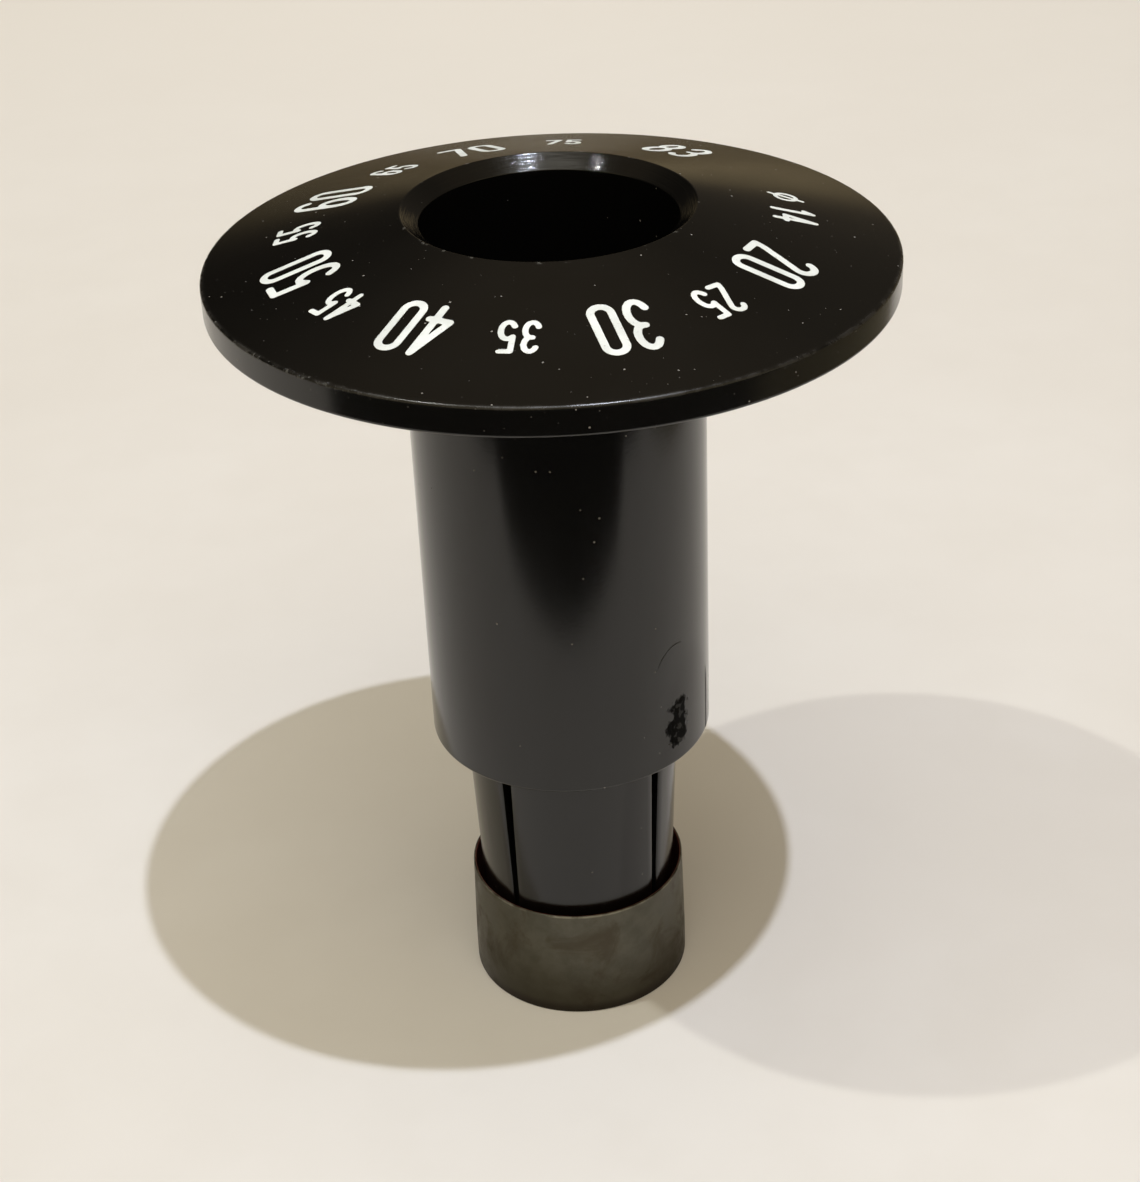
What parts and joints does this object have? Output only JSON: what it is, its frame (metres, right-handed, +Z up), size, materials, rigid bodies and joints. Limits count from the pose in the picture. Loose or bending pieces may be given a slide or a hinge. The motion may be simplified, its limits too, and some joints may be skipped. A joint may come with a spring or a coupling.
{
  "type": "film developing tank column",
  "caption": "Hollow black column with a cone-faced dial of white numbers on top and a slotted collet foot held closed by a thin steel ring.",
  "frame": {"origin": "centre of the standing face at the foot of the steel ring, on the column's axis", "axes": "+Z up along the column's axis towards the dial; the number 35 faces -Y"},
  "size_m": [0.07, 0.07, 0.0942],
  "materials": {
    "dial": "semi-gloss black moulded plastic with white figures filled in",
    "barrel": "glossy black moulded plastic",
    "collet_sleeve": "glossy black moulded plastic",
    "collet_finger_1": "glossy black moulded plastic",
    "collet_finger_2": "glossy black moulded plastic",
    "collet_finger_3": "glossy black moulded plastic",
    "collet_finger_4": "glossy black moulded plastic",
    "clamp_ring": "thin steel strip, dull and stained"
  },
  "bodies": {
    "column": {"dial": "dial", "barrel": "barrel", "collet_sleeve": "collet_sleeve"},
    "ring": {"clamp_ring": "clamp_ring"},
    "finger_1": {"collet_finger_1": "collet_finger_1"},
    "finger_2": {"collet_finger_2": "collet_finger_2"},
    "finger_3": {"collet_finger_3": "collet_finger_3"},
    "finger_4": {"collet_finger_4": "collet_finger_4"}
  },
  "joints": [
    {"name": "ring_slide", "type": "slide", "parent": "column", "child": "ring", "axis": [0, 0, 1], "range_m": [0, 0.012]},
    {"name": "finger_1_flex", "type": "hinge", "parent": "column", "child": "finger_1", "pos_m": [0.01106, 0.00097, 0.036], "axis": [0.0872, -0.9962, 0], "range_deg": [0, 1.3]},
    {"name": "finger_2_flex", "type": "hinge", "parent": "column", "child": "finger_2", "pos_m": [-0.00097, 0.01106, 0.036], "axis": [0.9962, 0.0872, 0], "range_deg": [0, 1.3]},
    {"name": "finger_3_flex", "type": "hinge", "parent": "column", "child": "finger_3", "pos_m": [-0.01106, -0.00097, 0.036], "axis": [-0.0872, 0.9962, 0], "range_deg": [0, 1.3]},
    {"name": "finger_4_flex", "type": "hinge", "parent": "column", "child": "finger_4", "pos_m": [0.00097, -0.01106, 0.036], "axis": [-0.9962, -0.0872, 0], "range_deg": [0, 1.3]}
  ],
  "couplings": [
    {"joint": "finger_1_flex", "follows": "ring_slide", "rad_per_m": 1.8907},
    {"joint": "finger_2_flex", "follows": "ring_slide", "rad_per_m": 1.8907},
    {"joint": "finger_3_flex", "follows": "ring_slide", "rad_per_m": 1.8907},
    {"joint": "finger_4_flex", "follows": "ring_slide", "rad_per_m": 1.8907}
  ]
}
